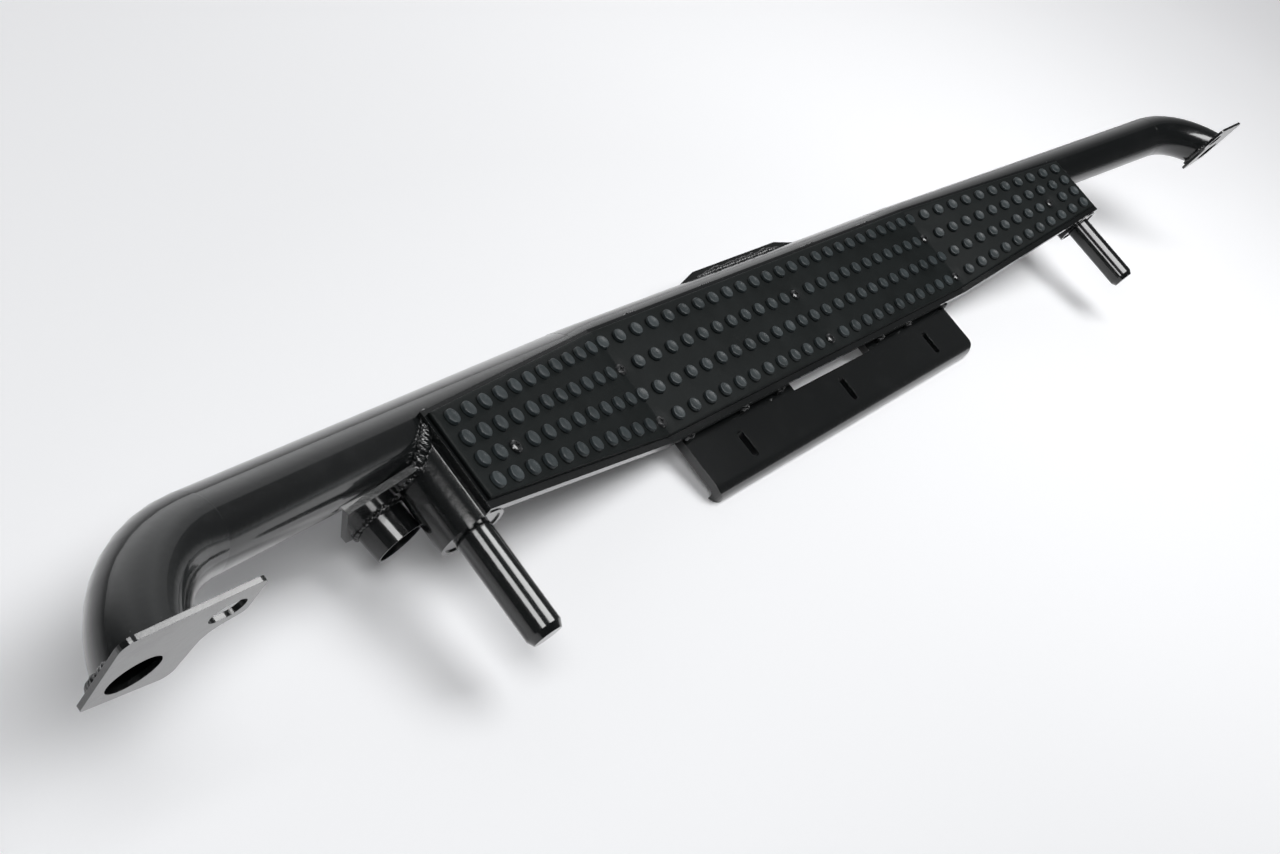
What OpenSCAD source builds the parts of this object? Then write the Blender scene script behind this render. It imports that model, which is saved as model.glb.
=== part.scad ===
// Hitch step for the rear of a vehicle, in millimetres.
// X runs along the step, -Y points at the vehicle, +Z is up.
// The origin is on the main tube's axis, halfway along it.

/* [Main tube] */
// Outside diameter of the main tube
tube_d = 48.3; // [42:0.1:54]
// Wall of the main tube
tube_wall = 3.2; // [2:0.1:5]
// Length of the level middle, from kink to kink
mid_len = 534; // [500:2:560]
// Rise of the tube's outer lengths
tube_rise = 14.9; // [14.5:0.1:16]
// Lean of the outer lengths towards the vehicle, seen from above
sweep_angle = 7.3; // [6:0.1:8]
// Bend radius at the kinks, on the tube's axis
kink_radius = 150; // [100:5:250]
// Distance from the middle to the corner of each end bend
end_corner_x = 777; // [772:1:782]
// Bend radius of the ends, on the tube's axis
end_radius = 96.5; // [90:0.5:98]
// Heading of the tube's mouth away from straight forward
mouth_heading = 20.9; // [18:0.1:24]
// Climb of the tube's mouth
mouth_climb = 12.6; // [10:0.1:15]

/* [End plates] */
// Distance from the tube's axis to the front faces of the end plates
plate_front = 117.6; // [114:0.1:122]
// Thickness of the end plates
plate_t = 3; // [2:0.5:6]
// Outer side of the end plates
plate_x = 825; // [823:1:830]
// Width of the end plates at the top
plate_w = 78; // [76:1:82]
// Width of the end plates below the tongue
plate_low_w = 53; // [52:0.5:56]
// Height of the end plates' top above the tube's axis at the middle
plate_top = 193; // [190:1:200]
// Height of the tongue
plate_tongue_h = 31; // [28:1:36]
// Height of the outer lower corner
plate_outer_z = 128; // [120:1:130]
// Height of the inner lower corner
plate_inner_z = 115; // [108:1:118]
// Diameter of the locating hole
plate_hole_d = 29; // [20:0.5:30]
// Width of the bolt slot
bolt_slot_w = 16; // [10:0.5:17]
// Length of the bolt slot
bolt_slot_len = 21; // [18:0.5:22]

/* [Tread] */
// Height of the tray's top above the tube's axis, at the middle
tray_top = 32; // [30:0.5:38]
// Thickness of the tray's sheet
tray_t = 3; // [2:0.1:4]
// Distance from the tube's axis to the tray's front face
tray_front = 109.5; // [108:0.5:112]
// Distance from the tube's axis to the tray's rear face, at the middle
tray_rear = 5; // [2:0.5:12]
// Taper of the tread's rear edge along the outer lengths
taper_angle = 8.3; // [7:0.1:9]
// Rise of the tread's outer lengths
tread_rise = 14.3; // [14:0.1:14.5]
// Length of the tray
tray_len = 1046; // [1044:1:1050]
// Depth of the tray's front lip
front_lip = 7; // [5:0.5:10]
// Depth of the tray's rear and end lips
rear_lip = 14; // [13:0.5:20]
// Outside radius of the tray's folded edges
fold_radius = 2.5; // [1:0.1:2.9]
// Width of the cut-out in the front lip
notch_w = 176; // [170:1:180]
// Thickness of the mat
mat_t = 3; // [2:0.1:5]
// Distance from the mat's rear and end edges to the tray's edges
mat_inset = 4; // [1:0.5:6]
// Distance from the mat's front edge to the tray's front face
mat_front_inset = 6; // [2:0.5:8]
// Diameter of the mat's studs
stud_d = 11.6; // [6:0.1:14]
// Height of the mat's studs
stud_h = 3.3; // [1.5:0.1:5]
// Spacing of the studs along the tread
stud_pitch = 22.25; // [20:0.05:22.4]
// Distance from the mat's front edge to the front row of studs, at the middle
row_edge = 12.6; // [10:0.1:14]
// Distance from the mat's front edge to the front row of studs, at the ends
row_edge_end = 9; // [8:0.1:12]
// Spacing of the stud rows at the middle
row_pitch = 26.25; // [20:0.05:27]
// Spacing of the stud rows at the ends
row_pitch_end = 16.8; // [14:0.1:18]

/* [Tread screws] */
// Thread diameter of the tread screws
screw_d = 5; // [4:0.5:6]
// Head diameter of the tread screws
head_d = 10.4; // [8:0.1:11]
// Head height of the tread screws
head_h = 3; // [2:0.1:4]
// Across the flats of the nuts
nut_af = 8; // [7:0.5:10]
// Height of the nuts
nut_h = 4.7; // [3:0.1:6]
// Diameter of the washers
washer_d = 11; // [9:0.5:14]
// Thickness of the washers
washer_t = 1; // [0.5:0.1:2]

/* [Sleeves and pins] */
// Distance of the pins' axes from the ends of the tray
pin_in = 3; // [2:0.5:5]
// Depth of the pins' axes below the tube's axis above them
pin_drop = 0.32; // [0:0.01:1]
// Outside diameter of the sleeves
sleeve_d = 48.3; // [46:0.1:48.3]
// Wall of the sleeves
sleeve_wall = 3.2; // [2:0.1:5]
// Distance from the tube's axis to the sleeves' outer ends
sleeve_front = 110.2; // [95:0.1:120]
// Diameter of the pins
pin_d = 26.4; // [26.2:0.1:30]
// Diameter of the pins' seats inside the sleeves
pin_seat_d = 26; // [20:0.1:26]
// Distance from the tube's axis to the pins' tips
pin_front = 191.6; // [150:0.1:240]
// Length of each pin
pin_len = 132; // [120:1:140]
// Length of the pins' tapered tips
pin_taper = 5; // [1:0.5:10]
// Thickness of the collars that hold the pins in the sleeves
collar_t = 10; // [4:0.5:20]
// Recess of the collars below the sleeves' ends
collar_recess = 1; // [0:0.1:3]

/* [Hitch bracket] */
// Width of the hitch bracket
bracket_w = 475; // [440:1:480]
// Thickness of the hitch bracket
bracket_t = 8; // [5:0.5:10]
// Height of the bracket's top above the tube's axis
bracket_top = 16; // [12:0.5:18]
// Distance from the tube's axis to the bracket's front
bracket_front = 164; // [150:1:190]
// Radius of the bracket's front corners, seen from above
bracket_corner = 10; // [4:0.5:12]
// Width of the bracket's window
window_w = 140; // [100:1:160]
// Distance from the tube's axis to the window's front edge
window_front = 114; // [112:0.5:116]
// Depth of the window
window_depth = 50; // [30:1:80]
// Depth of the bracket's bent edge below its top
bracket_drop = 15; // [13:0.5:40]
// Inside radius of the bracket's bend
bracket_bend = 4; // [2:0.5:8]
// Spacing of the bracket's slots
slot_pitch = 171; // [120:1:200]
// Width of the bracket's slots
slot_w = 9; // [6:0.5:14]
// Length of the bracket's slots
slot_len = 26; // [16:0.5:30]
// Distance from the tube's axis to the middle of the slots
slot_y = 136; // [130:0.5:138]

/* [Tow plate] */
// Length of the tow plate's rear edge
tow_len = 140; // [80:1:300]
// Distance from the tube's axis to the tow plate's rear edge
tow_rear = 29.5; // [28:0.5:60]
// Thickness of the tow plate
tow_t = 8; // [4:0.5:10]
// Height of the tow plate's top above the tube's axis
tow_top = 9; // [4:0.5:14]
// Length of the tow plate's chamfers
tow_chamfer = 28; // [10:1:60]

/* [Trailer socket holder] */
// Distance from the tray's end to the mouth of the socket tube
socket_out = 21.2; // [21:0.1:29]
// Depth of the socket tube's axis below the pin's axis
socket_drop = 34.8; // [34.7:0.1:39]
// Distance from the main tube's axis to the mouth of the socket tube
socket_mouth = 86.5; // [80:0.5:100]
// Outside diameter of the socket tube
socket_d = 36; // [30:0.5:36]
// Wall of the socket tube
socket_wall = 1.8; // [1.2:0.1:3]
// Thickness of the socket plate
socket_plate_t = 5; // [3:0.5:6]
// Distance from the socket tube's axis to the socket plate's outer top corner
socket_corner_x = 63.5; // [60:0.5:66]
// Height of the socket plate's top edge above the socket tube's axis
socket_corner_z = 58; // [54:0.5:60]
// Distance from the socket tube's axis to the socket plate's outer foot
socket_foot_x = 25; // [20:0.5:30]
// Depth of the socket plate's outer foot below the socket tube's axis
socket_foot_z = 9; // [4:0.5:14]
// Depth that the main tube is let into the socket plate
socket_seat = 0.5; // [0.1:0.1:1.5]

/* [Welds] */
// Leg of the weld beads
bead = 4; // [2:0.5:6]
// Leg of the bead round the socket tube
socket_bead = 2.5; // [1:0.5:3]
// Leg of the weld beads on the sleeves
sleeve_bead = 6; // [3:0.5:8]
// Width of each stitch between tray and bracket
stitch_w = 9; // [4:1:20]
// Distance that the stitches stand out in front of the tray
stitch_out = 2.5; // [0:0.5:4]
// Distance from the bracket's ends to the outer stitches
stitch_in = 1; // [0.5:0.5:30]
// Distance from the middle to the middle stitches
stitch_mid = 151; // [120:1:180]
// Distance from the middle to the inner stitches
stitch_inner = 93; // [93:1:100]
// Length of the beads along the tray's rear lip
rear_bead_len = 30; // [15:1:50]
// Places of the rear beads, from the middle
rear_bead_x = [90, 200];

/* [Hidden] */
$fn = 72;

paint = "#17191a";
rubber = "#2b2f2e";
weld_paint = "#24272a";
zinc = "#8f9496";
tube_r = tube_d / 2;
big = 400;
step_angles = [22.5, 52.5, 82.5];

function unit(v) = v / norm(v);

// Path of the tube's axis on the right-hand half
mid_dir = [1, 0, 0];
end_dir = unit([1, -tan(sweep_angle), tan(tube_rise)]);
mouth_dir = [sin(mouth_heading) * cos(mouth_climb),
    -cos(mouth_heading) * cos(mouth_climb),
    sin(mouth_climb)];
kink_x = mid_len / 2;
kink_point = [kink_x, 0, 0];
corner_point = kink_point + end_dir * (end_corner_x - kink_x) / end_dir[0];
kink_turn = acos(mid_dir * end_dir);
end_turn = acos(end_dir * mouth_dir);
kink_trim = kink_radius * tan(kink_turn / 2);
end_trim = end_radius * tan(end_turn / 2);
straight = kink_x - kink_trim;

// Direction v turned about the unit vector n
function turned(v, n, a) = v * cos(a) + cross(n, v) * sin(a) + n * (n * v) * (1 - cos(a));

// Reference direction across the tube, carried along its bends
mid_up = [0, 0, 1];
end_up = turned(mid_up, unit(cross(mid_dir, end_dir)), kink_turn);

// Turn of the end bends past the mouth, cut off at the end plates
turn_past = 15;

// Height that the tread has gained at a distance x from the middle
function rise(x) = max(0, abs(x) - kink_x) * tan(tread_rise);

// Point on the outer length's axis at a distance x from the middle
function axis_at(x) = kink_point + end_dir * (x - kink_x) / end_dir[0];

// The tray's ends, and the pins and the socket tube placed from them
tray_half = tray_len / 2;
pin_x = tray_half - pin_in;
pin_z = axis_at(pin_x)[2] - pin_drop;
socket_x = tray_half + socket_out;
socket_z = pin_z - socket_drop;

// Puts what is drawn along X at p, with its X on x and its Z on n
module frame(p, x, n) {
    y = cross(n, x);
    multmatrix([[x[0], y[0], n[0], p[0]],
        [x[1], y[1], n[1], p[1]],
        [x[2], y[2], n[2], p[2]],
        [0, 0, 0, 1]])
        children();
}

// Growth of the tube's radius in its bends, and lap of the straight lengths into them
bend_growth = 0.1;
bend_lap = 1;

// Round bar from p to q, longer by lap at both ends, with up across it
module bar(p, q, r, up, lap) {
    d = unit(q - p);
    frame(p - d * lap, d, -up) rotate([0, 90, 0]) cylinder(h = norm(q - p) + 2 * lap, r = r);
}

// Round bar that turns from direction d1 to d2 round the corner p, and by past degrees more
module elbow(p, d1, d2, radius, r, up, past) {
    turn = acos(d1 * d2);
    n = unit(cross(d1, d2));
    phase = atan2(up * n, -(up * cross(n, d1)));
    frame(p - d1 * radius * tan(turn / 2), d1, n)
        translate([0, radius, 0])
            rotate([0, 0, -90])
                rotate_extrude(angle = turn + past)
                    translate([radius, 0]) rotate(phase) circle(r = r + bend_growth);
}

module outer_bar(r, lap = 0) {
    bar(kink_point + end_dir * kink_trim, corner_point - end_dir * end_trim, r, end_up, lap);
}

module end_bend(r) { elbow(corner_point, end_dir, mouth_dir, end_radius, r, end_up, turn_past); }

// One outer length with its two bends, of radius r
module outer_length(r, lap) {
    elbow(kink_point, mid_dir, end_dir, kink_radius, r, mid_up, 0);
    outer_bar(r, lap);
    end_bend(r);
}

// The level middle, of radius r
module middle_length(r, lap = 0) { bar([-straight, 0, 0], [straight, 0, 0], r, mid_up, lap); }

module tube_solid(r, lap = 0) {
    middle_length(r, lap);
    outer_length(r, lap);
    mirror([1, 0, 0]) outer_length(r, lap);
}

// The space behind the end plates
module behind_plates() {
    translate([-plate_x - big, plate_t - plate_front, -big])
        cube([2 * (plate_x + big), 2 * big, 3 * big]);
}

module main_tube() {
    color(paint) intersection() {
        difference() {
            tube_solid(tube_r, bend_lap);
            tube_solid(tube_r - tube_wall, bend_lap);
        }
        behind_plates();
    }
}

// Corner of an outline, rounded to radius r between its neighbours
function corner_arc(a, p, b, r, steps = 6) =
    let(u = unit(a - p), v = unit(b - p), half = acos(u * v) / 2,
        centre = p + unit(u + v) * r / sin(half),
        s = p + u * r / tan(half) - centre, e = p + v * r / tan(half) - centre,
        side = sign(cross([s[0], s[1], 0], [e[0], e[1], 0])[2]), turn = 180 - 2 * half)
    [for (i = [0 : steps]) let(w = side * turn * i / steps)
        centre + [s[0] * cos(w) - s[1] * sin(w), s[0] * sin(w) + s[1] * cos(w)]];

// Outline with each corner [x, y, radius] rounded
function rounded(pts) = [for (i = [0 : len(pts) - 1])
    let(n = len(pts), a = pts[(i + n - 1) % n], p = pts[i], b = pts[(i + 1) % n])
    each corner_arc([a[0], a[1]], [p[0], p[1]], [b[0], b[1]], p[2])];

// End plate, drawn in X and Z
plate_inner = plate_x - plate_w;
plate_neck = plate_x - plate_low_w;
plate_tongue_z = plate_top - plate_tongue_h;
tongue_slope = 6;
tip_r = 3;
outer_r = 7;
tongue_r = 4;
neck_r = 14;
bulge_r = 6;
plate_hole_in = 22.5;
plate_hole_up = 17;
bolt_slot_in = 15.5;
bolt_slot_down = 19.5;
plate_outline = rounded([
    [plate_x, plate_outer_z, tip_r],
    [plate_x, plate_top, outer_r],
    [plate_inner, plate_top, tongue_r],
    [plate_inner, plate_tongue_z, tongue_r],
    [plate_neck - tongue_r, plate_tongue_z - tongue_slope, neck_r],
    [plate_neck, plate_inner_z, bulge_r]]);
plate_hole_x = plate_x - plate_hole_in;
plate_hole_z = plate_outer_z + plate_hole_up;
bolt_slot_x = plate_inner + bolt_slot_in;
bolt_slot_z = plate_top - bolt_slot_down;

module end_plate() {
    color(paint) translate([0, plate_t - plate_front, 0]) rotate([90, 0, 0]) difference() {
        linear_extrude(plate_t) polygon(plate_outline);
        translate([plate_hole_x, plate_hole_z, -1]) cylinder(h = plate_t + 2, d = plate_hole_d);
        translate([bolt_slot_x, bolt_slot_z, -1]) slot(bolt_slot_w, bolt_slot_len, plate_t + 2);
    }
}

// Slot along X, centred
module slot(w, length, h) {
    for (s = [-1, 1]) translate([s * (length - w) / 2, 0, 0]) cylinder(h = h, d = w);
    translate([-(length - w) / 2, -w / 2, 0]) cube([length - w, w, h]);
}

module end_plate_right() { end_plate(); }
module end_plate_left() { mirror([1, 0, 0]) end_plate(); }

// Plan outline of the tread, with rear and ends moved in by d and the front by f
function edge_drop(x) = max(0, x - kink_x) * tan(taper_angle);
function plan(d, f) = let(e = tray_half - d, r = tray_rear - d, y = f - tray_front) [
    [-e, y], [e, y], [e, r - edge_drop(e)], [kink_x, r], [-kink_x, r], [-e, r - edge_drop(e)]];

// Folded band in X and Z, from height lo to height hi above the tube's axis
band_spare = 20;
module band(lo, hi) {
    e = tray_half + band_spare;
    translate([0, big, 0]) rotate([90, 0, 0]) linear_extrude(2 * big)
        polygon([[-e, lo + rise(e)], [-kink_x, lo], [kink_x, lo], [e, lo + rise(e)],
            [e, hi + rise(e)], [kink_x, hi], [-kink_x, hi], [-e, hi + rise(e)]]);
}

module in_plan(d, f) { translate([0, 0, -big / 2]) linear_extrude(big) polygon(plan(d, f)); }

// Tool that rounds the folded edge from p to q, whose top faces +Z and whose side faces out
module edge_rounder(p, q, out, r) {
    x = unit(q - p);
    side = unit(out - x * (out * x));
    up = cross(x, side)[2] > 0 ? cross(x, side) : -cross(x, side);
    lengthened = norm(q - p) + 2;
    frame(p - x, x, up) difference() {
        translate([0, cross(up, x) * side > 0 ? -r : -1, -r]) cube([lengthened, r + 1, r + 1]);
        translate([-1, cross(up, x) * side > 0 ? -r : r, -r]) rotate([0, 90, 0])
            cylinder(h = lengthened + 2, r = r);
    }
}

// Sheet and lips of the tray, before its holes and rounded folds
module tray_shell() {
    intersection() {
        band(tray_top - tray_t, tray_top);
        in_plan(0, 0);
    }
    intersection() {
        band(tray_top - rear_lip, tray_top);
        difference() {
            in_plan(0, 0);
            in_plan(tray_t, tray_t);
        }
        translate([-2 * big, tray_t - tray_front, -big]) cube([4 * big, big, 2 * big]);
    }
    intersection() {
        band(tray_top - front_lip, tray_top);
        in_plan(0, 0);
        translate([-2 * big, -tray_front, -big]) cube([4 * big, tray_t, 2 * big]);
    }
}

module tread_tray() {
    pts = plan(0, 0);
    front_left = [-kink_x, -tray_front, tray_top];
    front_right = [kink_x, -tray_front, tray_top];
    function at(i) = [pts[i][0], pts[i][1], tray_top + rise(pts[i][0])];
    color(paint) difference() {
        tray_shell();
        tube_solid(tube_r);
        for (s = [-1, 1]) translate([s * pin_x, 0, pin_z]) rotate([90, 0, 0])
            cylinder(h = sleeve_front, d = sleeve_d);
        translate([-notch_w / 2, -tray_front - 1, tray_top - front_lip - 1])
            cube([notch_w, tray_t + 2, front_lip - tray_t + 1]);
        screw_holes(screw_d + hole_clearance);
        edge_rounder(front_left, front_right, [0, -1, 0], fold_radius);
        edge_rounder(front_right, at(1), [0, -1, 0], fold_radius);
        edge_rounder(at(0), front_left, [0, -1, 0], fold_radius);
        edge_rounder(at(1), at(2), [1, 0, -tan(tread_rise)], fold_radius);
        edge_rounder(at(0), at(5), [-1, 0, -tan(tread_rise)], fold_radius);
    }
}

// Places along the tread, measured on the slope of the outer lengths
function slope_x(s) = s <= kink_x ? s : kink_x + (s - kink_x) * cos(tread_rise);

hole_clearance = 0.5;
mat_end_s = kink_x + (tray_half - mat_inset - kink_x) / cos(tread_rise);
columns = floor((mat_end_s - stud_d) / stud_pitch);
kink_column = round(kink_x / stud_pitch);
mat_front = tray_front - mat_front_inset;

// Row y at slope distance s, where row 0 is the front row
function row_y(row, s) =
    let(k = max(0, s - kink_x) / (columns * stud_pitch - kink_x),
        pitch = row_pitch + (row_pitch_end - row_pitch) * k)
    -mat_front + row_edge + (row_edge_end - row_edge) * k + row * pitch;

// Columns and rows that hold a screw in place of a stud
screw_spots = [[-kink_column, 2], [0, 2], [kink_column, 2], [-kink_column, 0], [0, 0], [kink_column, 0],
    [-columns + 2, 1], [columns - 2, 1]];
function is_screw(c, r) = len([for (s = screw_spots) if (s[0] == c && s[1] == r) 1]) > 0;

// Puts what is drawn on the tread's top at a column and row
module on_tread(c, row) {
    s = abs(c) * stud_pitch;
    side = c < 0 ? -1 : 1;
    x = side * slope_x(s);
    translate([x, row_y(row, s), tray_top + rise(x)])
        rotate([0, s > kink_x + 1 ? -side * tread_rise : 0, 0]) children();
}

module at_screws() { for (s = screw_spots) on_tread(s[0], s[1]) children(); }
hole_reach = 20;
module screw_holes(d) { at_screws() translate([0, 0, -hole_reach]) cylinder(h = 2 * hole_reach, d = d); }

// Depth that the studs and heads are let into the mat
head_seat = 1;

module tread_mat() {
    color(rubber) difference() {
        union() {
            intersection() {
                band(tray_top, tray_top + mat_t);
                in_plan(mat_inset, mat_front_inset);
            }
            for (c = [-columns : columns], row = [0 : 3]) if (!is_screw(c, row))
                on_tread(c, row) translate([0, 0, mat_t - head_seat])
                    cylinder(h = stud_h + head_seat, d = stud_d);
        }
        screw_holes(screw_d + hole_clearance);
        at_screws() translate([0, 0, mat_t - head_seat]) cylinder(h = big, d = head_d + 2 * hole_clearance);
    }
}

// End of the shank that shows below the nut
shank_end = 1.5;

// Half outline of the pan head, in its diameter and its height
head_outline = [[0, 0], [0.5, 0], [0.5, 0.45], [0.44, 0.78], [0.32, 1], [0, 1]];
recess_len = head_d * 0.44;
recess_w = head_d * 0.11;
recess_floor = head_h * 0.35;

// Pan head with a cross recess, its shank down through mat, tray, washer and nut
module tread_screws() {
    shank = mat_t - head_seat + tray_t + washer_t + nut_h + shank_end;
    color(paint) at_screws() translate([0, 0, mat_t - head_seat]) difference() {
        union() {
            rotate_extrude() polygon([for (p = head_outline) [p[0] * head_d, p[1] * head_h]]);
            translate([0, 0, -shank]) cylinder(h = shank, d = screw_d);
        }
        for (a = [0, 90]) rotate([0, 0, a])
            translate([-recess_len / 2, -recess_w / 2, recess_floor]) cube([recess_len, recess_w, head_h]);
    }
}

module tread_washers() {
    color(zinc) at_screws() translate([0, 0, -tray_t - washer_t]) difference() {
        cylinder(h = washer_t, d = washer_d);
        translate([0, 0, -1]) cylinder(h = washer_t + 2, d = screw_d + hole_clearance);
    }
}

module tread_nuts() {
    color(zinc) at_screws() translate([0, 0, -tray_t - washer_t - nut_h]) difference() {
        cylinder(h = nut_h, d = nut_af / cos(30), $fn = 6);
        translate([0, 0, -1]) cylinder(h = nut_h + 2, d = screw_d);
    }
}

// What is drawn along +Z runs forward from the tube's axis at a pin
module at_pin() { translate([pin_x, 0, pin_z]) rotate([90, 0, 0]) children(); }

sleeve_bore = sleeve_d - 2 * sleeve_wall;

// Distance forward of the main tube's axis at a pin
sleeve_start = -axis_at(pin_x)[1];

module sleeve() {
    color(paint) difference() {
        at_pin() translate([0, 0, sleeve_start]) difference() {
            cylinder(h = sleeve_front - sleeve_start, d = sleeve_d);
            translate([0, 0, -1]) cylinder(h = sleeve_front, d = sleeve_bore);
        }
        outer_bar(tube_r);
    }
}

module collar() {
    color(paint) at_pin() translate([0, 0, sleeve_front - collar_recess - collar_t]) difference() {
        cylinder(h = collar_t, d = sleeve_bore);
        translate([0, 0, -1]) cylinder(h = collar_t + 2, d = pin_seat_d);
    }
}

module pin() {
    color(paint) at_pin() {
        translate([0, 0, pin_front - pin_len])
            cylinder(h = sleeve_front + pin_len - pin_front, d = pin_seat_d);
        translate([0, 0, sleeve_front]) cylinder(h = pin_front - pin_taper - sleeve_front, d = pin_d);
        translate([0, 0, pin_front - pin_taper]) cylinder(h = pin_taper, d1 = pin_d, d2 = pin_d - pin_taper);
    }
}

module sleeve_right() { sleeve(); }
module sleeve_left() { mirror([1, 0, 0]) sleeve(); }
module collar_right() { collar(); }
module collar_left() { mirror([1, 0, 0]) collar(); }
module pin_right() { pin(); }
module pin_left() { mirror([1, 0, 0]) pin(); }

// Side view of the bracket, in Y and Z: flat plate with its front edge bent down
module bracket_profile() {
    outer = bracket_bend + bracket_t;
    translate([-bracket_front + outer, bracket_top - bracket_t])
        square([bracket_front - outer, bracket_t]);
    translate([-bracket_front + outer, bracket_top - outer]) intersection() {
        difference() {
            circle(r = outer);
            circle(r = bracket_bend);
        }
        translate([-outer, 0]) square(outer);
    }
    translate([-bracket_front, bracket_top - bracket_drop]) square([bracket_t, bracket_drop - outer]);
}

// Plan of the bracket, with rounded front corners
bracket_plan = rounded([
    [-bracket_w / 2, -bracket_front, bracket_corner],
    [bracket_w / 2, -bracket_front, bracket_corner],
    [bracket_w / 2, tube_r, 1],
    [-bracket_w / 2, tube_r, 1]]);

module hitch_bracket() {
    color(paint) difference() {
        intersection() {
            translate([-bracket_w / 2, 0, 0]) rotate([90, 0, 90])
                linear_extrude(bracket_w) bracket_profile();
            translate([0, 0, -big]) linear_extrude(2 * big) polygon(bracket_plan);
        }
        middle_length(tube_r);
        for (i = [-1 : 1]) translate([i * slot_pitch, -slot_y, bracket_top - bracket_t - 1])
            rotate([0, 0, 90]) slot(slot_w, slot_len, bracket_t + 2);
        translate([-window_w / 2, -window_front, bracket_top - bracket_t - 1])
            cube([window_w, window_depth, bracket_t + 2]);
    }
}

// The tow plate's front edge lies inside the tube, and its chamfers run out just under the tube's skin
tow_inner = 8;
tow_foot = tube_r - 2;

module tow_plate() {
    half = tow_len / 2;
    wide = half + tow_chamfer;
    color(paint) difference() {
        translate([0, 0, tow_top - tow_t]) linear_extrude(tow_t)
            polygon([[-wide, tow_inner], [wide, tow_inner], [wide, tow_foot],
                [half, tow_rear], [-half, tow_rear], [-wide, tow_foot]]);
        middle_length(tube_r);
    }
}

// Place of the socket holder, with +X along the main tube towards the middle and +Z forward
socket_front = tube_r + socket_plate_t - socket_seat;
socket_dir = [sin(sweep_angle), -cos(sweep_angle), 0];
socket_mouth_at = [-socket_x, -socket_mouth, socket_z];
socket_axis_y = -(socket_x - kink_x) * tan(sweep_angle);
socket_len = (socket_mouth + socket_axis_y) * cos(sweep_angle) - socket_front;

module at_socket() {
    p = socket_mouth_at - socket_dir * socket_len;
    translate(p) rotate([0, 0, sweep_angle]) rotate([90, 0, 0]) children();
}

// Outline of the socket plate, with the socket tube's axis at its origin
socket_low = socket_d / 2 + socket_bead;
socket_outline = [
    [-socket_corner_x, socket_corner_z], [-socket_foot_x, -socket_foot_z], [0, -socket_low],
    [socket_low, -socket_low], [socket_low, socket_corner_z - socket_low], [0, socket_corner_z]];

module socket_plate_solid() {
    at_socket() translate([0, 0, -socket_plate_t]) linear_extrude(socket_plate_t) polygon(socket_outline);
}

module socket_plate() {
    color(paint) difference() {
        socket_plate_solid();
        at_socket() translate([0, 0, -socket_plate_t - 1])
            cylinder(h = socket_plate_t + 2, d = socket_d - 2 * socket_wall);
        mirror([1, 0, 0]) outer_bar(tube_r);
        mirror([1, 0, 0]) at_pin() cylinder(h = sleeve_front, d = sleeve_d + 2 * sleeve_bead);
    }
}

module socket_tube() {
    color(paint) at_socket() difference() {
        cylinder(h = socket_len, d = socket_d);
        translate([0, 0, -1]) cylinder(h = socket_len + 2, d = socket_d - 2 * socket_wall);
    }
}

// Bead in the corner between the main tube and what is drawn grown by the leg
module sleeve_weld() {
    color(weld_paint) difference() {
        for (a = step_angles) intersection() {
            at_pin() translate([0, 0, sleeve_start])
                cylinder(h = tube_d, d = sleeve_d + 2 * sleeve_bead * sin(a));
            outer_bar(tube_r + sleeve_bead * cos(a));
        }
        outer_bar(tube_r);
        at_pin() cylinder(h = sleeve_front, d = sleeve_d);
        tray_shell();
    }
}

module sleeve_weld_right() { sleeve_weld(); }
module sleeve_weld_left() { mirror([1, 0, 0]) sleeve_weld(); }

module end_plate_weld() {
    color(weld_paint) difference() {
        for (a = step_angles) intersection() {
            end_bend(tube_r + bead * sin(a));
            translate([kink_x, plate_t - plate_front, -big]) cube([2 * big, bead * cos(a), 3 * big]);
        }
        end_bend(tube_r);
    }
}

module end_plate_weld_right() { end_plate_weld(); }
module end_plate_weld_left() { mirror([1, 0, 0]) end_plate_weld(); }

// Stitches that join the tray's front lip to the bracket
module bracket_welds() {
    gap = tray_top - front_lip - bracket_top;
    stitch_outer = bracket_w / 2 - stitch_in - stitch_w / 2;
    color(weld_paint) for (s = [-1, 1], x = [stitch_outer, stitch_mid, stitch_inner])
        translate([s * x - stitch_w / 2, -tray_front - stitch_out, bracket_top])
            cube([stitch_w, tray_t + stitch_out, gap]);
}

// Beads that join the tray's rear lip to the tube
module tray_welds() {
    color(weld_paint) difference() {
        for (s = [-1, 1], x = rear_bead_x) intersection() {
            translate([s * x - rear_bead_len / 2, tray_rear, 0]) cube([rear_bead_len, bead, tube_d]);
            middle_length(tube_r + bead);
        }
        middle_length(tube_r);
    }
}

module tow_plate_weld() {
    half = tow_len / 2;
    color(weld_paint) difference() {
        for (a = step_angles) intersection() {
            translate([-half, 0, tow_top]) cube([tow_len, tow_rear, bead * sin(a)]);
            middle_length(tube_r + bead * cos(a));
        }
        middle_length(tube_r);
    }
}

// Ring round the socket tube where it stands on the socket plate
module socket_welds() {
    color(weld_paint) difference() {
        at_socket() for (a = step_angles)
            cylinder(h = socket_bead * cos(a), d = socket_d + 2 * socket_bead * sin(a));
        at_socket() translate([0, 0, -1]) cylinder(h = socket_bead + 2, d = socket_d);
        mirror([1, 0, 0]) at_pin() cylinder(h = sleeve_front, d = sleeve_d);
    }
}

main_tube();
end_plate_left();
end_plate_right();
tread_tray();
tread_mat();
tread_screws();
tread_washers();
tread_nuts();
sleeve_left();
sleeve_right();
collar_left();
collar_right();
pin_left();
pin_right();
hitch_bracket();
tow_plate();
socket_plate();
socket_tube();
sleeve_weld_left();
sleeve_weld_right();
end_plate_weld_left();
end_plate_weld_right();
bracket_welds();
tray_welds();
tow_plate_weld();
socket_welds();
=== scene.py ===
import math
import random

import bmesh

import bpy
import numpy as np
from mathutils import Matrix, Vector, noise


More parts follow.
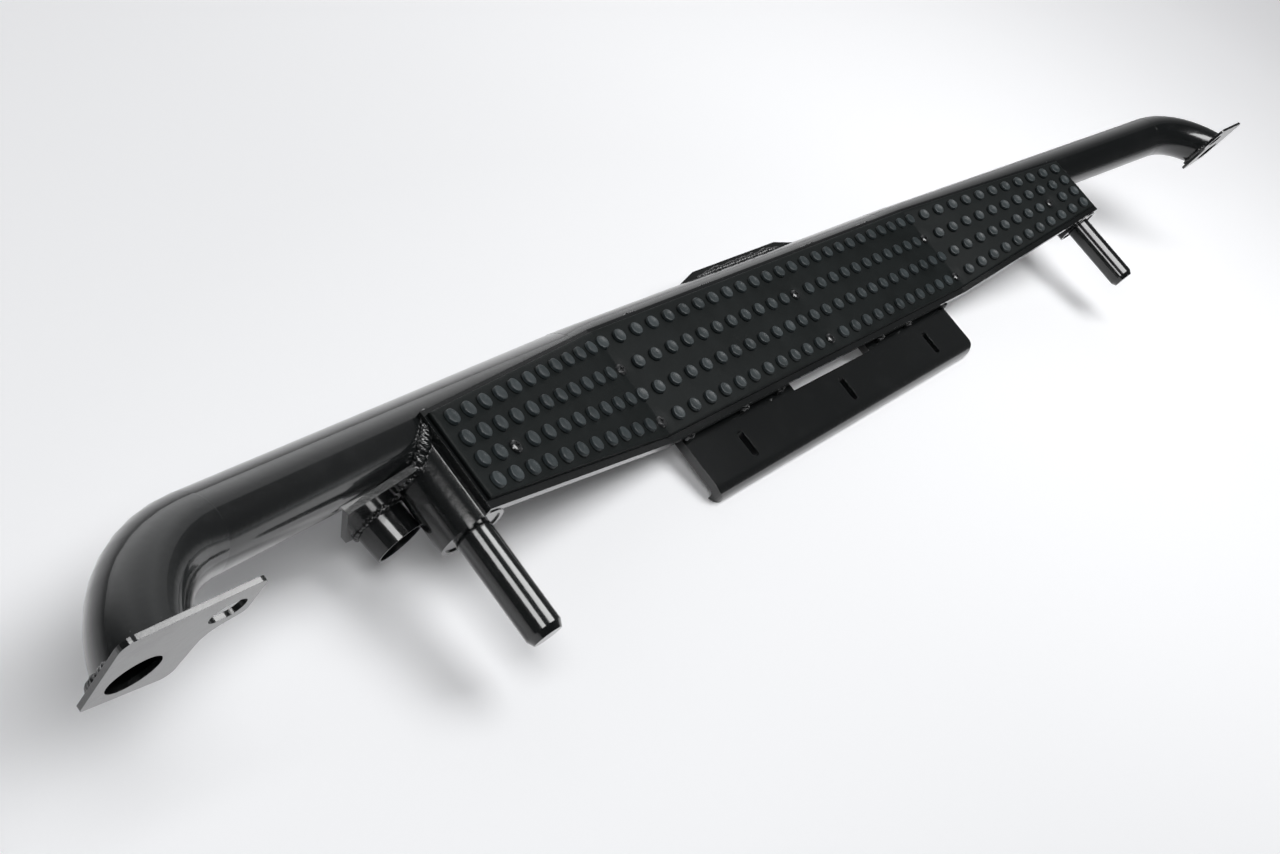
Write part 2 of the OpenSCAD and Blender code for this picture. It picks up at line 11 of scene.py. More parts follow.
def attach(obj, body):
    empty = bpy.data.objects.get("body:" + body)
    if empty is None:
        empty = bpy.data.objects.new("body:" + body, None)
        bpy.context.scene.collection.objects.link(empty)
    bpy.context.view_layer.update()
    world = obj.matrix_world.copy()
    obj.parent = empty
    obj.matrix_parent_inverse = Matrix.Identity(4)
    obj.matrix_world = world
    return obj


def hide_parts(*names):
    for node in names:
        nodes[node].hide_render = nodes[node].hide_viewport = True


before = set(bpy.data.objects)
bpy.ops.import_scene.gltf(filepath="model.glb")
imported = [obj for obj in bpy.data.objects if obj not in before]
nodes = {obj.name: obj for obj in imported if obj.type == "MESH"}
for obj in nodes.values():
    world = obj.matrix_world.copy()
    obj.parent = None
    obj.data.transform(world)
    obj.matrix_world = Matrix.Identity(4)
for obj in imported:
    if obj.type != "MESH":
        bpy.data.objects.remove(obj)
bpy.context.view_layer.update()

random.seed(7)
np.random.seed(7)


# Shader helper: a socket that Python expressions can be written on
class Wire:
    def __init__(self, tree, socket=None):
        self.tree = tree
        self.socket = socket

    def node(self, kind, settings=None, sockets=None, out=0):
        made = self.tree.nodes.new(kind)
        for name, value in (settings or {}).items():
            if name == "stops":  # (place, grey) pairs, from left to right
                ramp = made.color_ramp
                ramp.elements.remove(ramp.elements[1])
                ramp.elements[0].position, grey = value[0]
                ramp.elements[0].color = (grey, grey, grey, 1)
                for place, grey in value[1:]:
                    ramp.elements.new(place).color = (grey, grey, grey, 1)
            else:
                setattr(made, name, value)
        for name, value in (sockets or {}).items():
            if isinstance(value, Wire):
                self.tree.links.new(value.socket, made.inputs[name])
            else:
                made.inputs[name].default_value = value
        return Wire(self.tree, made.outputs[out])

    def maths(self, operation, a, b):
        return self.node("ShaderNodeMath", {"operation": operation}, {0: a, 1: b})

    def __add__(self, other):
        return self.maths("ADD", self, other)

    def __radd__(self, other):
        return self.maths("ADD", other, self)

    def __sub__(self, other):
        return self.maths("SUBTRACT", self, other)

    def __rsub__(self, other):
        return self.maths("SUBTRACT", other, self)

    def __mul__(self, other):
        return self.maths("MULTIPLY", self, other)

    def __rmul__(self, other):
        return self.maths("MULTIPLY", other, self)

    def __pow__(self, other):
        return self.maths("POWER", self, other)

    def grain(self, place, scale, detail=2.0, roughness=0.5):
        return self.node("ShaderNodeTexNoise", {}, {
            "Vector": place, "Scale": scale, "Detail": detail, "Roughness": roughness})

    def steps(self, value, stops):
        return self.node("ShaderNodeValToRGB", {"stops": stops}, {"Fac": value})

    def blend(self, amount, a, b):
        return self.node("ShaderNodeMix", {"data_type": "RGBA"}, {0: amount, 6: a, 7: b}, out=2)


def newFinish(name):
    material = bpy.data.materials.new(name)
    material.use_nodes = True
    material.node_tree.nodes.clear()
    return material, Wire(material.node_tree)


def close(wire, surface):
    end = wire.tree.nodes.new("ShaderNodeOutputMaterial")
    wire.tree.links.new(surface.socket, end.inputs["Surface"])


def objectPlace(wire):
    return wire.node("ShaderNodeTexCoord", out="Object")


# Finishes
paintLook = {
    "colour": (0.0075, 0.0085, 0.0088, 1),
    "dustColour": (0.05, 0.052, 0.054, 1),
    "roughness": 0.2,
    "specular": 0.4,
    "coatRoughness": 0.07,
    "peelSize": 260,  # per metre
    "peelDepth": 0.00035,
    "edge": 0.0007,  # radius that the paint gives to sharp edges
}


def glossPaint(name, look, peel=1.0, lumps=0.0):
    material, wire = newFinish(name)
    place = objectPlace(wire)
    cloud = wire.grain(place, 9.0, 3.0)
    specks = wire.steps(wire.grain(place, 520.0, 1.0), [(0.0, 0), (0.735, 0), (0.78, 1)])
    smear = wire.steps(wire.grain(place, 34.0, 4.0, 0.6), [(0.0, 0), (0.52, 0), (0.8, 1)])
    peelBump = wire.grain(place, look["peelSize"], 2.0) * peel + wire.grain(place, 1500.0, 1.0) * 0.12
    height = peelBump + wire.grain(place, 420.0, 3.0) * lumps
    bump = wire.node("ShaderNodeBump", {}, {
        "Strength": 0.35, "Distance": look["peelDepth"], "Height": height,
        "Normal": wire.node("ShaderNodeBevel", {"samples": 4}, {"Radius": look["edge"]})})
    colour = wire.blend(specks * 0.5 + smear * 0.06, look["colour"], look["dustColour"])
    rough = look["roughness"] + (cloud - 0.5) * 0.10 + smear * 0.05
    close(wire, wire.node("ShaderNodeBsdfPrincipled", {}, {
        "Base Color": colour, "Roughness": rough, "Specular IOR Level": look["specular"],
        "Coat Weight": 1.0 - smear * 0.15,
        "Coat Roughness": look["coatRoughness"], "Normal": bump}))
    return material


rubberLook = {
    "colour": (0.0055, 0.0073, 0.0072, 1),
    "pale": (0.0115, 0.0145, 0.0148, 1),
    "roughness": 0.46,
    "specular": 0.13,
}
# Stud finish: a lighter, bluer copy of the mat rubber, a painted sheen standing in for the sky's reflection on the
# studs
studSheenLook = {
    "colour": (0.021, 0.028, 0.030, 1),
    "pale": (0.046, 0.060, 0.066, 1),
    "roughness": 0.34,
    "specular": 0.45,
}


def rubber(name, look):
    material, wire = newFinish(name)
    place = objectPlace(wire)
    wear = wire.steps(wire.grain(place, 26.0, 5.0, 0.65), [(0.0, 0), (0.38, 0), (0.75, 1)])
    fine = wire.grain(place, 1400.0, 3.0, 0.7)
    bump = wire.node("ShaderNodeBump", {}, {
        "Strength": 0.5, "Distance": 0.0002, "Height": fine + wire.grain(place, 210.0, 2.0) * 1.2})
    colour = wire.blend(wear * 0.6 + (fine - 0.5) * 0.5, look["colour"], look["pale"])
    close(wire, wire.node("ShaderNodeBsdfPrincipled", {}, {
        "Base Color": colour, "Roughness": look["roughness"] + wear * 0.12,
        "Specular IOR Level": look["specular"], "Normal": bump}))
    return material


zincLook = {"colour": (0.50, 0.51, 0.52, 1), "roughness": 0.34}


def zincPlate(name, look):
    material, wire = newFinish(name)
    place = objectPlace(wire)
    cloud = wire.grain(place, 160.0, 4.0, 0.6)
    bump = wire.node("ShaderNodeBump", {}, {
        "Strength": 0.3, "Distance": 0.0001, "Height": wire.grain(place, 900.0, 3.0)})
    close(wire, wire.node("ShaderNodeBsdfPrincipled", {}, {
        "Base Color": wire.blend(cloud, look["colour"], (0.36, 0.37, 0.38, 1)),
        "Roughness": look["roughness"] + cloud * 0.15, "Metallic": 1.0, "Normal": bump}))
    return material


blackPaint = glossPaint("blackPaint", paintLook)
weldPaint = glossPaint("weldPaint", dict(paintLook, roughness=0.22, coatRoughness=0.05), lumps=1.5)
screwBlack = glossPaint("screwBlack", dict(paintLook, colour=(0.014, 0.015, 0.016, 1), roughness=0.3), peel=0.4)
matRubber = rubber("matRubber", rubberLook)
# the studs get the painted-sheen rubber, lighter and bluer than the slab
studSheenRubber = rubber("studSheenRubber", studSheenLook)
zinc = zincPlate("zincPlate", zincLook)
print("finishes made")

for name, node in nodes.items():
    finish = blackPaint
    if name in ("tread_nuts", "tread_washers"):
        finish = zinc
    elif name == "tread_screws":
        finish = screwBlack
    elif name == "tread_mat":
        finish = matRubber
    elif "weld" in name:
        finish = weldPaint
    for place in node.material_slots:
        place.material = finish
print("finishes on the CAD nodes")


# Mesh helper
def addPiece(name, points, faces, finishes, smooth=True, faceFinish=None):
    mesh = bpy.data.meshes.new(name)
    mesh.from_pydata([tuple(p) for p in points], [], faces)
    for finish in finishes:
        mesh.materials.append(finish)
    if faceFinish:
        mesh.polygons.foreach_set("material_index", faceFinish)
    mesh.polygons.foreach_set("use_smooth", [smooth] * len(faces))
    mesh.update()
    piece = bpy.data.objects.new(name, mesh)
    bpy.context.scene.collection.objects.link(piece)
    return piece


# Lines that the part follows, in metres
tubeLook = {
    "radius": 0.02415,
    "kinkX": 0.267,
    "rise": math.radians(14.9),
    "sweep": math.radians(7.3),
    "endCornerX": 0.777,
    "endRadius": 0.0965,
    "mouthHeading": math.radians(20.9),
    "mouthClimb": math.radians(12.6),
}
kinkPoint = Vector((tubeLook["kinkX"], 0, 0))
endDir = Vector((1, -math.tan(tubeLook["sweep"]), math.tan(tubeLook["rise"]))).normalized()
cornerPoint = kinkPoint + endDir * ((tubeLook["endCornerX"] - tubeLook["kinkX"]) / endDir.x)
mouthDir = Vector((
    math.sin(tubeLook["mouthHeading"]) * math.cos(tubeLook["mouthClimb"]),
    -math.cos(tubeLook["mouthHeading"]) * math.cos(tubeLook["mouthClimb"]),
    math.sin(tubeLook["mouthClimb"])))

treadLook = {
    "top": 0.032,
    "sheet": 0.003,
    "rise": math.radians(14.3),
    "taper": math.radians(8.3),
    "half": 0.523,
    "front": 0.1095,
    "rear": 0.005,
}


def treadRise(x):
    return max(0.0, abs(x) - tubeLook["kinkX"]) * math.tan(treadLook["rise"])


# Rubber mat: one slab with soft edges, pressed down at the screws, and its studs
matLook = {
    "thick": 0.003,
    "endInset": 0.004,
    "frontInset": 0.006,
    "step": 0.0025,
    "swell": 0.0016,  # how far the rubber rises between the screws
    "studRadius": 0.0058,
    "studHeight": 0.0033,
    "pitch": 0.02225,
    "rowEdge": 0.0126,
    "rowEdgeEnd": 0.009,
    "rowPitch": 0.02625,
    "rowPitchEnd": 0.0168,
    "studSides": 26,
}
kinkX = tubeLook["kinkX"]
matHalf = treadLook["half"] - matLook["endInset"]
matFront = treadLook["frontInset"] if "frontInset" in treadLook else treadLook["front"] - matLook["frontInset"]
matEnd = kinkX + (matHalf - kinkX) / math.cos(treadLook["rise"])
columns = int((matEnd - 2 * matLook["studRadius"]) / matLook["pitch"])
kinkColumn = round(kinkX / matLook["pitch"])
screwSpots = [(-kinkColumn, 2), (0, 2), (kinkColumn, 2), (-kinkColumn, 0), (0, 0), (kinkColumn, 0),
              (-columns + 2, 1), (columns - 2, 1)]


def onTread(column, row):
    s = abs(column) * matLook["pitch"]
    share = max(0.0, s - kinkX) / (columns * matLook["pitch"] - kinkX)
    pitch = matLook["rowPitch"] + (matLook["rowPitchEnd"] - matLook["rowPitch"]) * share
    edge = matLook["rowEdge"] + (matLook["rowEdgeEnd"] - matLook["rowEdge"]) * share
    x = s if s <= kinkX else kinkX + (s - kinkX) * math.cos(treadLook["rise"])
    return math.copysign(x, column) if column else 0.0, -matFront + edge + row * pitch


screwPlaces = [onTread(c, r) for c, r in screwSpots]


def matRear(x):
    return treadLook["rear"] - matLook["endInset"] - max(0.0, abs(x) - kinkX) * math.tan(treadLook["taper"])


def matSwell(x, y):
    near = min(math.hypot(x - sx, y - sy) for sx, sy in screwPlaces)
    lift = matLook["swell"] * (1 - math.exp(-(near / 0.045) ** 2))
    edge = min(y + matFront, matRear(x) - y, matHalf - abs(x))
    lift *= min(1.0, max(0.0, edge / 0.02)) ** 0.5
    return lift - 0.0009 * math.exp(-(near / 0.0085) ** 4) + 0.0003 * noise.noise(Vector((x * 30, y * 45, 2)))


def makeMat():
    inner = 0.0009
    xs = sorted(set(
        [round(-kinkX, 5), round(kinkX, 5), -matHalf, matHalf, -matHalf + 0.0003, matHalf - 0.0003,
         -matHalf + inner, matHalf - inner]
        + [round(v, 5) for v in np.arange(-matHalf + 0.003, matHalf - 0.002, matLook["step"])]))
    rows = [0, 0.0003, inner] + list(np.linspace(0.003, 1, 38))
    points, faces = [], []
    across = []
    for x in xs:
        lo, hi = -matFront, matRear(x)
        width = hi - lo
        line = [lo, lo + 0.0003, lo + inner]
        line += list(np.linspace(lo + 0.003, hi - 0.003, 36))
        line += [hi - inner, hi - 0.0003, hi]
        across.append(line)
    wide = len(across[0])

    def drop(distance):  # rounding of the top edge
        return 0.0009 - math.sqrt(max(0.0, 0.0009 ** 2 - (0.0009 - min(distance, 0.0009)) ** 2))

    for level in (0, 1):
        for x, line in zip(xs, across):
            base = treadLook["top"] + treadRise(x)
            for y in line:
                edge = min(y + matFront, matRear(x) - y, matHalf - abs(x))
                z = base + 0.00005 if level == 0 else base + matLook["thick"] - drop(edge) + matSwell(x, y)
                points.append((x, y, z))
    count = len(xs) * wide
    for i in range(len(xs) - 1):
        for j in range(wide - 1):
            a, b, c, d = i * wide + j, (i + 1) * wide + j, (i + 1) * wide + j + 1, i * wide + j + 1
            faces.append((a, d, c, b))
            faces.append((a + count, b + count, c + count, d + count))
    for i in range(len(xs) - 1):  # front and rear walls
        a, b = i * wide, (i + 1) * wide
        faces.append((a, b, b + count, a + count))
        a, b = i * wide + wide - 1, (i + 1) * wide + wide - 1
        faces.append((b, a, a + count, b + count))
    for j in range(wide - 1):  # end walls
        faces.append((j + 1, j, j + count, j + 1 + count))
        a = (len(xs) - 1) * wide + j
        faces.append((a, a + 1, a + 1 + count, a + count))
    # face kinds: 0 takes the slab rubber, 1 the stud rubber with the painted sheen
    kinds = [0] * len(faces)

    r, h = matLook["studRadius"], matLook["studHeight"]
    profile = [(r + 0.0007, -0.0004), (r + 0.00025, 0.00015), (r + 0.00005, 0.0007), (r, h - 0.0006),
               (r - 0.00018, h - 0.00022), (r - 0.0006, h), (r - 0.0012, h - 0.00005),
               (r - 0.0028, h - 0.00038), (0.0012, h - 0.00052)]
    sides = matLook["studSides"]
    for column in range(-columns, columns + 1):
        for row in range(4):
            if (column, row) in screwSpots:
                continue
            x, y = onTread(column, row)
            base = Vector((x, y, treadLook["top"] + treadRise(x) + matLook["thick"] + matSwell(x, y)))
            tilt = -math.copysign(treadLook["rise"], x) if abs(x) > kinkX + 0.001 else 0.0
            turn = Matrix.Rotation(tilt + random.uniform(-0.012, 0.012), 3, "Y")
            turn = turn @ Matrix.Rotation(random.uniform(-0.02, 0.02), 3, "X")
            start = len(points)
            for radius, z in profile:
                for k in range(sides):
                    angle = 2 * math.pi * k / sides
                    points.append(base + turn @ Vector((radius * math.cos(angle), radius * math.sin(angle), z)))
            points.append(base + turn @ Vector((0, 0, h - 0.00055)))
            points.append(base + turn @ Vector((0, 0, -0.0006)))
            for ring in range(len(profile) - 1):
                for k in range(sides):
                    a, b = start + ring * sides + k, start + ring * sides + (k + 1) % sides
                    faces.append((a, b, b + sides, a + sides))
                    kinds.append(1 if ring > 1 else 0)
            last = start + (len(profile) - 1) * sides
            for k in range(sides):
                faces.append((last + k, last + (k + 1) % sides, len(points) - 2))
                kinds.append(1)
                faces.append((start + (k + 1) % sides, start + k, len(points) - 1))
                kinds.append(0)
    piece = addPiece("studded_mat", points, faces, [matRubber, studSheenRubber], True, kinds)
    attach(piece, "root")
    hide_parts("tread_mat")
    return piece


makeMat()
print("mat made")


# Weld beads
weldLook = {"ripple": 0.0032, "rippleDepth": 0.16, "lumpDepth": 0.34, "section": 9}


def bead(name, seam, leg, closed, ceiling=None):
    # seam: (point, way along the first surface, way along the second, first normal, second normal)
    points, faces = [], []
    count = weldLook["section"]
    travelled = 0.0
    for i, (p, a, b, na, nb) in enumerate(seam):
        if i:
            travelled += (p - seam[i - 1][0]).length
        out = (na + nb).normalized()
        end = 1.0
        if not closed:
            end = min(1.0, 0.35 + 4 * min(i, len(seam) - 1 - i) / len(seam))
        lump = noise.noise(p * 190) * weldLook["lumpDepth"] + noise.noise(p * 520) * 0.10
        for k in range(count):
            t = math.pi / 2 * k / (count - 1)
            chevron = 0.9 * math.sin(2 * t)
            wave = math.sin(2 * math.pi * travelled / weldLook["ripple"] + chevron * 2)
            size = leg * end * (0.86 + lump + weldLook["rippleDepth"] * wave * math.sin(2 * t))
            crown = 0.30 * size * math.sin(2 * t)
            q = p + a * (size * math.cos(t) ** 1.35) + b * (size * math.sin(t) ** 1.35) + out * crown
            if ceiling:
                q.z = min(q.z, ceiling(q.x))
            points.append(q)
        points.append(p - out * leg * 0.35)
    ring = count + 1
    stations = len(seam)
    for i in range(stations if closed else stations - 1):
        n = (i + 1) % stations
        for k in range(ring):
            m = (k + 1) % ring
            faces.append((i * ring + k, n * ring + k, n * ring + m, i * ring + m))
    if not closed:
        faces.append(tuple(range(ring)))
        faces.append(tuple(reversed(range((stations - 1) * ring, stations * ring))))
    return points, faces


def mirrored(points, faces):
    return [Vector((-p[0], p[1], p[2])) for p in points], [tuple(reversed(f)) for f in faces]


def joined(parts):
    points, faces = [], []
    for somePoints, someFaces in parts:
        start = len(points)
        points += list(somePoints)
        faces += [tuple(v + start for v in f) for f in someFaces]
    return points, faces


def weldPiece(name, parts, *cadNodes):
    points, faces = joined(parts)
    piece = addPiece(name, points, faces, [weldPaint])
    flip = bpy.data.meshes[piece.data.name]

    shape = bmesh.new()
    shape.from_mesh(flip)
    bmesh.ops.recalc_face_normals(shape, faces=shape.faces)
    shape.to_mesh(flip)
    shape.free()
    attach(piece, "root")
    if cadNodes:
        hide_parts(*cadNodes)
    return piece


def frames(spots, normalsOne, normalsTwo, wayOne, wayTwo, closed):
    # ways along each surface, square to the seam
    made = []
    n = len(spots)
    for i, p in enumerate(spots):
        after = spots[(i + 1) % n] if closed or i < n - 1 else spots[i]
        before = spots[i - 1] if closed or i > 0 else spots[i]
        along = (after - before).normalized()
        a = along.cross(normalsOne[i]).normalized()
        a = a if a.dot(wayOne[i]) > 0 else -a
        b = along.cross(normalsTwo[i]).normalized()
        b = b if b.dot(wayTwo[i]) > 0 else -b
        made.append((p, a, b, normalsOne[i], normalsTwo[i]))
    return made


pinLook = {"x": 0.520, "z": 0.067, "sleeveRadius": 0.02415, "leg": 0.0066}


def sleeveSeam(stations=320):
    r, tubeR = pinLook["sleeveRadius"], tubeLook["radius"]
    spots, sleeveNormals, tubeNormals, wayOne, wayTwo = [], [], [], [], []
    for i in range(stations):
        t = 2 * math.pi * i / stations
        out = Vector((math.cos(t), 0, math.sin(t)))
        x, z = pinLook["x"] + r * out.x, pinLook["z"] + r * out.z
        # forward crossing of the line along Y with the tube's surface
        flat = Vector((x, 0, z)) - kinkPoint
        across = Vector((0, 1, 0)) - endDir * endDir.y
        offset = flat - endDir * flat.dot(endDir)
        qa, qb, qc = across.dot(across), 2 * across.dot(offset), offset.dot(offset) - tubeR ** 2
        y = (-qb - math.sqrt(max(0.0, qb * qb - 4 * qa * qc))) / (2 * qa)
        p = Vector((x, y, z))
        rel = p - kinkPoint
        radial = (rel - endDir * rel.dot(endDir)).normalized()
        spots.append(p)
        sleeveNormals.append(out)
        tubeNormals.append(radial)
        wayOne.append(Vector((0, -1, 0)))
        wayTwo.append(out)
    return frames(spots, sleeveNormals, tubeNormals, wayOne, wayTwo, True)


def underTray(x):
    return treadLook["top"] - treadLook["sheet"] + treadRise(x) - 0.0001 if abs(x) < treadLook["half"] else 1.0


sleeveBead = bead("sleeve", sleeveSeam(), pinLook["leg"], True, underTray)
weldPiece("sleeve_bead_right", [sleeveBead], "sleeve_weld_right")
weldPiece("sleeve_bead_left", [mirrored(*sleeveBead)], "sleeve_weld_left")

plateLook = {"rear": -0.1146, "leg": 0.0038}


def plateSeam(stations=300):
    turn = math.acos(endDir.dot(mouthDir))
    n = endDir.cross(mouthDir).normalized()
    inward = n.cross(endDir)
    radius, r = tubeLook["endRadius"], tubeLook["radius"]
    centre = cornerPoint - endDir * radius * math.tan(turn / 2) + inward * radius

    def surface(t, w):
        outward = endDir * math.sin(t) - inward * math.cos(t)
        normal = n * math.cos(w) + outward * math.sin(w)
        return centre + outward * radius + normal * r, normal

    spots, tubeNormals, wayOne = [], [], []
    for i in range(stations):
        w = 2 * math.pi * i / stations
        low, high = 0.2, turn + math.radians(15)
        for _ in range(40):
            mid = (low + high) / 2
            if surface(mid, w)[0].y > plateLook["rear"]:
                low = mid
            else:
                high = mid
        p, normal = surface((low + high) / 2, w)
        spots.append(p)
        tubeNormals.append(normal)
        wayOne.append(Vector((0, 1, 0)))
    plateNormals = [Vector((0, 1, 0))] * stations
    return frames(spots, tubeNormals, plateNormals, wayOne, tubeNormals, True)


plateBead = bead("plate", plateSeam(), plateLook["leg"], True)
weldPiece("plate_bead_right", [plateBead], "end_plate_weld_right")
weldPiece("plate_bead_left", [mirrored(*plateBead)], "end_plate_weld_left")


def straightSeam(x0, x1, y, z, normalOne, normalTwo, wayOne, wayTwo):
    count = max(12, int(abs(x1 - x0) / 0.0005))
    spots = [Vector((x0 + (x1 - x0) * i / count, y, z)) for i in range(count + 1)]
    same = lambda v: [Vector(v)] * (count + 1)
    return frames(spots, same(normalOne), same(normalTwo), same(wayOne), same(wayTwo), False)


rearLook = {"places": (0.09, 0.2), "length": 0.03, "leg": 0.0036}
rearY = treadLook["rear"]
rearZ = math.sqrt(tubeLook["radius"] ** 2 - rearY ** 2)
rearNormal = (0, rearY / tubeLook["radius"], rearZ / tubeLook["radius"])
rearBeads = [bead("rear", straightSeam(s * x - rearLook["length"] / 2, s * x + rearLook["length"] / 2, rearY, rearZ,
                                       (0, 1, 0), rearNormal, (0, 0, 1), (0, 1, 0)), rearLook["leg"], False)
             for s in (-1, 1) for x in rearLook["places"]]
weldPiece("rear_beads", rearBeads, "tray_welds")

towLook = {"half": 0.07, "top": 0.009, "leg": 0.0038}
towY = math.sqrt(tubeLook["radius"] ** 2 - towLook["top"] ** 2)
towNormal = (0, towY / tubeLook["radius"], towLook["top"] / tubeLook["radius"])
weldPiece("tow_bead", [bead("tow", straightSeam(-towLook["half"], towLook["half"], towY, towLook["top"],
                                                towNormal, (0, 0, 1), (0, 0, 1), (0, 1, 0)), towLook["leg"], False)],
          "tow_plate_weld")

socketLook = {"mouth": Vector((-0.5442, -0.0865, 0.0322)), "radius": 0.018, "length": 0.02193, "leg": 0.0024}


def socketSeam(stations=200):
    way = Vector((math.sin(tubeLook["sweep"]), -math.cos(tubeLook["sweep"]), 0))
    foot = socketLook["mouth"] - way * socketLook["length"]
    side = way.cross(Vector((0, 0, 1))).normalized()
    spots, normals = [], []
    for i in range(stations):
        t = 2 * math.pi * i / stations
        normal = side * math.cos(t) + Vector((0, 0, 1)) * math.sin(t)
        spots.append(foot + normal * socketLook["radius"])
        normals.append(normal)
    return frames(spots, normals, [way] * stations, [way] * stations, normals, True)


weldPiece("socket_bead", [bead("socket", socketSeam(), socketLook["leg"], True)], "socket_welds")


def blob(centre, radii, seed, sides=22, rings=14):
    points, faces = [], []
    for i in range(rings + 1):
        v = math.pi * i / rings
        for k in range(sides):
            u = 2 * math.pi * k / sides
            way = Vector((math.sin(v) * math.cos(u), math.sin(v) * math.sin(u), math.cos(v)))
            size = 1 + 0.22 * noise.noise(way * 1.7 + Vector((seed, 0, 0))) + 0.07 * noise.noise(way * 5 + Vector((0, seed, 0)))
            points.append(Vector(centre) + Vector((way.x * radii[0], way.y * radii[1], way.z * radii[2])) * size)
    for i in range(rings):
        for k in range(sides):
            a, b = i * sides + k, i * sides + (k + 1) % sides
            faces.append((a, b, b + sides, a + sides))
    return points, faces


stitchLook = {"places": (0.232, 0.151, 0.093), "y": -0.1088, "z": 0.0203, "size": (0.0047, 0.0031, 0.0054)}
weldPiece("bracket_stitches", [blob((s * x, stitchLook["y"], stitchLook["z"]), stitchLook["size"], 3 * i + s)
                               for i, x in enumerate(stitchLook["places"]) for s in (-1, 1)], "bracket_welds")
print("welds made")


# Floor, lights and camera
stageLook = {
    "size": 30.0,
    "colour": (0.80, 0.80, 0.81, 1),
    "seenColour": (0.905, 0.91, 0.925, 1),
    "slope": math.radians(8.82),  # the step leans on its tube and the bracket's edge
    "contact": Vector((0, -0.164, 0.0009)),
    "lift": 0.05,  # what the camera sees above the floor's own light
    "liftFrom": (-0.2, -0.5, 0.0),
    "farLift": [(0.0, 0.0), (0.15, 0.1), (0.19, 0.25), (0.43, 0.85), (0.62, 1.0), (1.0, 1.0)],  # by metres over 5
    "farColour": (8.0, 8.0, 8.2, 1),
}


def makeFloor():
    half = stageLook["size"] / 2
    way = Vector((0, math.cos(stageLook["slope"]), -math.sin(stageLook["slope"])))
    corners = [stageLook["contact"] + Vector((x, 0, 0)) + way * y for x, y in
               ((-half, -half), (half, -half), (half, half), (-half, half))]
    material, wire = newFinish("floorPaper")
    place = objectPlace(wire)
    paths = wire.node("ShaderNodeLightPath", out="Is Camera Ray")
    plain = wire.node("ShaderNodeBsdfDiffuse", {}, {"Color": stageLook["colour"], "Roughness": 0.4})
    seen = wire.node("ShaderNodeBsdfDiffuse", {}, {"Color": stageLook["seenColour"], "Roughness": 0.4})
    body = wire.node("ShaderNodeMixShader", {}, {0: paths, 1: plain, 2: seen})
    away = wire.node("ShaderNodeVectorMath", {"operation": "DISTANCE"}, {0: place, 1: stageLook["liftFrom"]}, out="Value")
    white = wire.blend(wire.steps(away * 0.2, stageLook["farLift"]), (0.985, 0.99, 1, 1), stageLook["farColour"])
    glow = wire.node("ShaderNodeEmission", {}, {"Color": white, "Strength": paths * stageLook["lift"]})
    lit = wire.node("ShaderNodeAddShader", {}, {0: body, 1: glow})
    clear = wire.node("ShaderNodeBsdfTransparent")
    back = wire.node("ShaderNodeNewGeometry", out="Backfacing")
    close(wire, wire.node("ShaderNodeMixShader", {}, {0: back, 1: lit, 2: clear}))
    floor = addPiece("floor", corners, [(0, 1, 2, 3)], [material], False)
    return floor


makeFloor()


def areaLight(name, place, turn, size, radiance):
    data = bpy.data.lights.new(name, "AREA")
    data.shape = "RECTANGLE"
    data.size, data.size_y = size
    data.energy = radiance * size[0] * size[1] * 4
    light = bpy.data.objects.new(name, data)
    light.location = place
    light.rotation_euler = turn
    light.visible_camera = False
    bpy.context.scene.collection.objects.link(light)
    return light


lightLook = {
    "topPlace": (0.37, -0.08, 1.5),
    "topSize": (1.15, 0.82),
    "topTurn": (0, 0, math.radians(-21)),
    "nearPlace": (-0.93, -0.13, 0.82),
    "nearSize": (0.36, 0.36),
    "nearTurn": (0, math.radians(-35), 0),
    "radiance": 6.0,
}
areaLight("topBox", lightLook["topPlace"], lightLook["topTurn"], lightLook["topSize"], lightLook["radiance"])
areaLight("nearBox", lightLook["nearPlace"], lightLook["nearTurn"], lightLook["nearSize"], lightLook["radiance"])


worldLook = {
    "brightSide": (math.cos(math.radians(65)), math.sin(math.radians(65)), 0),
    "height": [(0.0, 1.0), (0.5, 0.98), (0.545, 0.9), (0.66, 0.7), (0.77, 0.50), (0.85, 0.30), (0.93, 0.12), (1.0, 0.10)],
    "facing": [(0.0, 0.08), (0.5, 0.08), (0.79, 0.09), (0.85, 0.25), (0.91, 0.60), (0.97, 1.0)],
    "horizon": [(0.0, 0.55), (0.50, 0.52), (0.545, 0.34), (0.60, 0.0)],
    "horizonSide": [(0.0, 0.15), (0.45, 0.25), (0.7, 1.0)],
    "seen": 0.84,
}


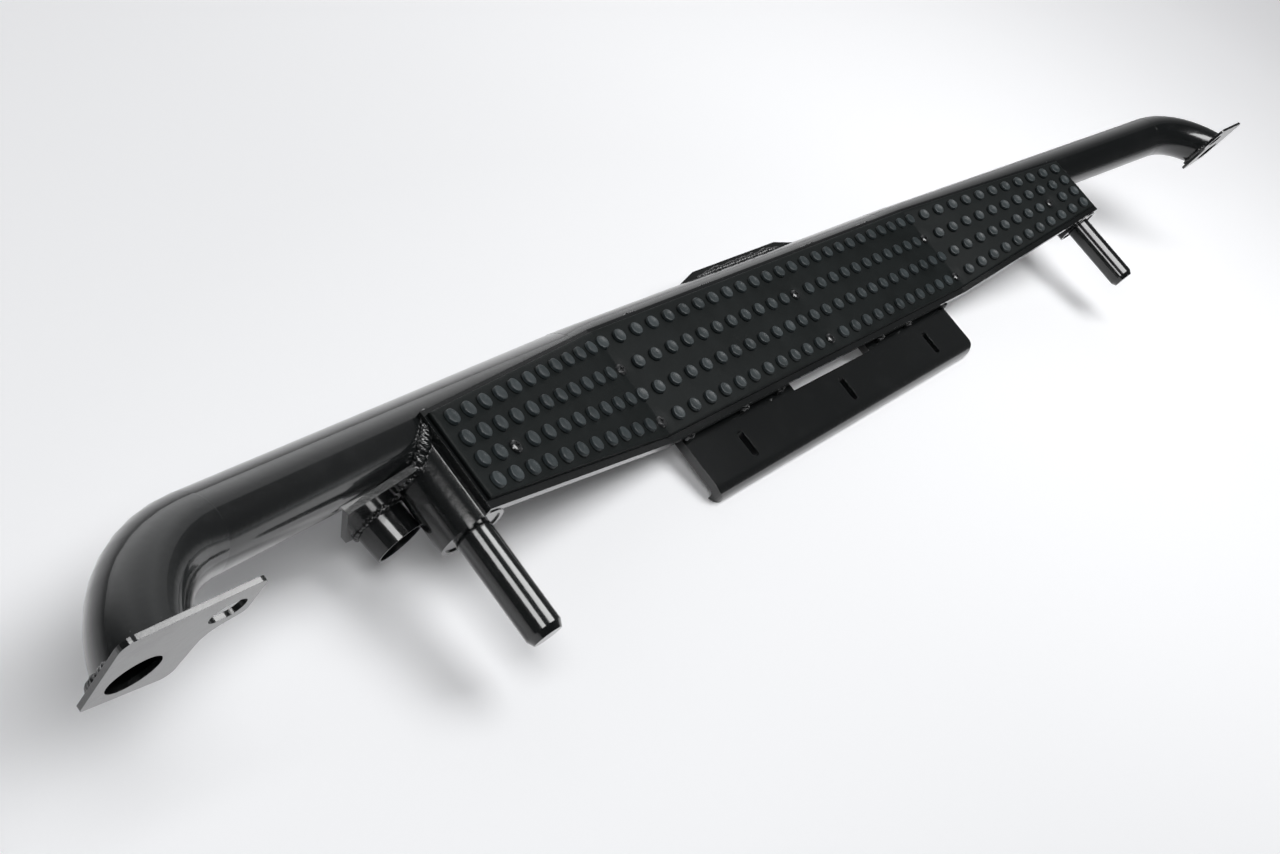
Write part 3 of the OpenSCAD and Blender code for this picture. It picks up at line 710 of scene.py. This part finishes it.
def makeWorld():
    world = bpy.data.worlds.new("studio")
    bpy.context.scene.world = world
    world.use_nodes = True
    world.node_tree.nodes.clear()
    wire = Wire(world.node_tree)
    way = wire.node("ShaderNodeTexCoord", out="Generated")
    up = wire.node("ShaderNodeSeparateXYZ", {}, {0: way}, out="Z") * 0.5 + 0.5
    level = wire.node("ShaderNodeVectorMath", {"operation": "MULTIPLY"}, {0: way, 1: (1, 1, 0)}, out="Vector")
    level = wire.node("ShaderNodeVectorMath", {"operation": "NORMALIZE"}, {0: level}, out="Vector")
    side = wire.node("ShaderNodeVectorMath", {"operation": "DOT_PRODUCT"},
                     {0: level, 1: worldLook["brightSide"]}, out="Value") * 0.5 + 0.5
    ahead = wire.node("ShaderNodeSeparateXYZ", {}, {0: level}, out="X") * 0.5 + 0.5
    sheet = wire.steps(up, worldLook["height"]) * wire.steps(side, worldLook["facing"])
    glow = wire.steps(up, worldLook["horizon"]) * wire.steps(ahead, worldLook["horizonSide"])
    seen = wire.node("ShaderNodeLightPath", out="Is Camera Ray")
    strength = wire.node("ShaderNodeMath", {"operation": "MAXIMUM"}, {0: sheet, 1: glow})
    strength = wire.node("ShaderNodeMath", {"operation": "MAXIMUM"}, {0: strength, 1: seen * worldLook["seen"]})
    ground = wire.node("ShaderNodeBackground", {}, {"Color": (0.985, 0.99, 1, 1), "Strength": strength})
    end = wire.tree.nodes.new("ShaderNodeOutputWorld")
    wire.tree.links.new(ground.socket, end.inputs["Surface"])


makeWorld()

cameraLook = {
    "place": (-1.1200, -0.2790, 0.7439),
    "right": (0.5958, -0.5987, 0.5353),
    "up": (0.2904, 0.7820, 0.5514),
    "back": (-0.7487, -0.1731, 0.6399),
    "lens": 40.51,
}
cameraData = bpy.data.cameras.new("camera")
cameraData.sensor_fit = "HORIZONTAL"
cameraData.sensor_width = 36
cameraData.lens = cameraLook["lens"]
cameraData.clip_start = 0.01
cameraData.clip_end = 100
camera = bpy.data.objects.new("camera", cameraData)
axes = Matrix((cameraLook["right"], cameraLook["up"], cameraLook["back"])).transposed()
camera.matrix_world = Matrix.Translation(cameraLook["place"]) @ axes.to_4x4()
bpy.context.scene.collection.objects.link(camera)
bpy.context.scene.camera = camera
bpy.context.scene.view_settings.view_transform = "Standard"
print("stage made")
